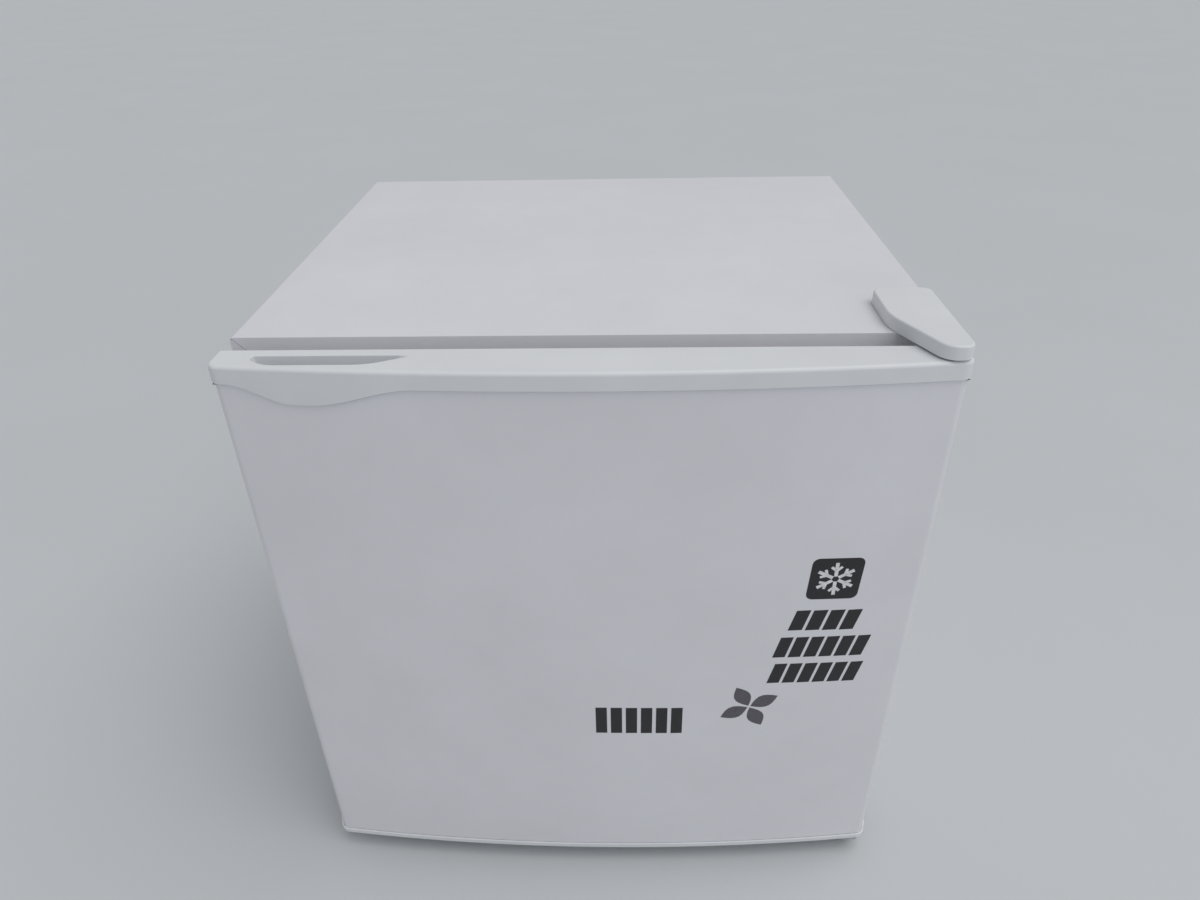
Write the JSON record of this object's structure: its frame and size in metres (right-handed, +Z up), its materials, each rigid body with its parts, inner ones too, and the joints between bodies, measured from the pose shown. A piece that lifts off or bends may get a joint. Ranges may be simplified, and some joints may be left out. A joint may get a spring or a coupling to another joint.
{
  "type": "mini fridge",
  "caption": "Table-top refrigerator with a bowed right-hinged door, a finger grip in the door's top cap, an ice box with a drip tray, a wire shelf and door bins.",
  "frame": {"origin": "on the floor, under the middle of the whole box of cabinet, door and wall spacers", "axes": "+Z up, the door faces -Y, +X is the hinge side (the right as seen from the front)"},
  "size_m": [0.472, 0.45, 0.5015],
  "materials": {
    "painted_steel": "semi-gloss white stoved enamel",
    "cap_plastic": "satin white moulded plastic",
    "liner_plastic": "vacuum-formed white plastic",
    "seal_rubber": "soft grey extruded seal",
    "rigid_foam": "rigid cellular foam",
    "zinc_steel": "zinc-plated sheet steel",
    "aluminium_sheet": "rolled aluminium sheet",
    "copper_pipe": "drawn copper tube",
    "black_enamel": "glossy black enamel",
    "grommet_rubber": "moulded rubber",
    "black_plastic": "moulded black plastic",
    "clear_plastic": "clear injection-moulded plastic",
    "white_wire": "white plastic-coated wire",
    "nylon": "natural nylon"
  },
  "bodies": {
    "cabinet": {"cabinet_wrap": "painted_steel", "rear_panel": "zinc_steel", "compressor_bay_sheet": "zinc_steel", "base_pan": "painted_steel", "compressor_base_plate": "zinc_steel", "cord_gland": "black_plastic", "inner_liner": "liner_plastic", "insulation_foam": "rigid_foam", "wall_spacer_left": "black_plastic", "wall_spacer_right": "black_plastic", "rear_left_foot": "black_plastic", "rear_right_foot": "black_plastic", "top_hinge_cover": "cap_plastic", "top_hinge_bracket": "zinc_steel", "bottom_hinge_bracket": "zinc_steel", "bottom_hinge_washer": "nylon", "top_hinge_screw_1": "zinc_steel", "top_hinge_screw_2": "zinc_steel", "top_hinge_screw_3": "zinc_steel", "bottom_hinge_screw_1": "zinc_steel", "bottom_hinge_screw_2": "zinc_steel", "evaporator": "aluminium_sheet", "ice_box_frame": "liner_plastic", "thermostat_housing": "liner_plastic", "thermostat_switch": "black_plastic", "thermostat_bulb": "copper_pipe", "condenser_pipe_left": "copper_pipe", "condenser_pipe_right": "copper_pipe", "condenser_bridge": "copper_pipe", "compressor_shell": "black_enamel", "compressor_mount": "black_enamel", "compressor_grommet_1": "grommet_rubber", "compressor_grommet_2": "grommet_rubber", "compressor_grommet_3": "grommet_rubber", "compressor_grommet_4": "grommet_rubber", "relay_cover": "black_plastic", "discharge_line": "copper_pipe", "suction_line": "copper_pipe", "filter_drier": "copper_pipe", "liquid_line": "copper_pipe", "capillary_tube": "copper_pipe"},
    "door": {"door_skin": "painted_steel", "door_top_cap": "cap_plastic", "door_bottom_cap": "cap_plastic", "door_foam": "rigid_foam", "door_inner_liner": "liner_plastic", "door_gasket": "seal_rubber", "top_hinge_bush": "nylon", "bottom_hinge_bush": "nylon"},
    "lower_bin": {"lower_door_bin": "clear_plastic"},
    "upper_bin": {"upper_door_bin": "clear_plastic"},
    "flap": {"ice_box_flap": "clear_plastic"},
    "tray": {"drip_tray": "clear_plastic"},
    "shelf": {"wire_shelf": "white_wire"},
    "knob": {"thermostat_knob": "liner_plastic"},
    "left_foot_stud": {"front_left_foot_stud": "zinc_steel"},
    "left_foot_pad": {"front_left_foot_pad": "black_plastic"},
    "right_foot_stud": {"front_right_foot_stud": "zinc_steel"},
    "right_foot_pad": {"front_right_foot_pad": "black_plastic"}
  },
  "joints": [
    {"name": "door_swing", "type": "hinge", "parent": "cabinet", "child": "door", "pos_m": [0.224, -0.2005, 0.25], "axis": [0, 0, 1], "range_deg": [0, 120]},
    {"name": "lower_bin_lift", "type": "slide", "parent": "door", "child": "lower_bin", "axis": [0, 0, 1], "range_m": [0, 0.02]},
    {"name": "upper_bin_lift", "type": "slide", "parent": "door", "child": "upper_bin", "axis": [0, 0, 1], "range_m": [0, 0.02]},
    {"name": "flap_swing", "type": "hinge", "parent": "cabinet", "child": "flap", "pos_m": [-0.0407, -0.0665, 0.4422], "axis": [-1, 0, 0], "range_deg": [0, 90]},
    {"name": "tray_slide", "type": "slide", "parent": "cabinet", "child": "tray", "axis": [0, -1, 0], "range_m": [0, 0.085]},
    {"name": "shelf_slide", "type": "slide", "parent": "cabinet", "child": "shelf", "axis": [0, -1, 0], "range_m": [0, 0.065]},
    {"name": "thermostat_turn", "type": "hinge", "parent": "cabinet", "child": "knob", "pos_m": [0.16285, -0.06, 0.4077], "axis": [0, 1, 0], "range_deg": [0, 300]},
    {"name": "left_foot_rise", "type": "slide", "parent": "cabinet", "child": "left_foot_stud", "axis": [0, 0, -1], "range_m": [0, 0.008]},
    {"name": "left_foot_turn", "type": "hinge", "parent": "left_foot_stud", "child": "left_foot_pad", "pos_m": [-0.195, -0.091, 0.005], "axis": [0, 0, 1], "range_deg": [0, 2304]},
    {"name": "right_foot_rise", "type": "slide", "parent": "cabinet", "child": "right_foot_stud", "axis": [0, 0, -1], "range_m": [0, 0.008]},
    {"name": "right_foot_turn", "type": "hinge", "parent": "right_foot_stud", "child": "right_foot_pad", "pos_m": [0.195, -0.091, 0.005], "axis": [0, 0, 1], "range_deg": [0, 2304]}
  ],
  "couplings": [
    {"joint": "left_foot_rise", "follows": "left_foot_turn", "m_per_rad": 0.00019894},
    {"joint": "right_foot_rise", "follows": "right_foot_turn", "m_per_rad": 0.00019894}
  ]
}
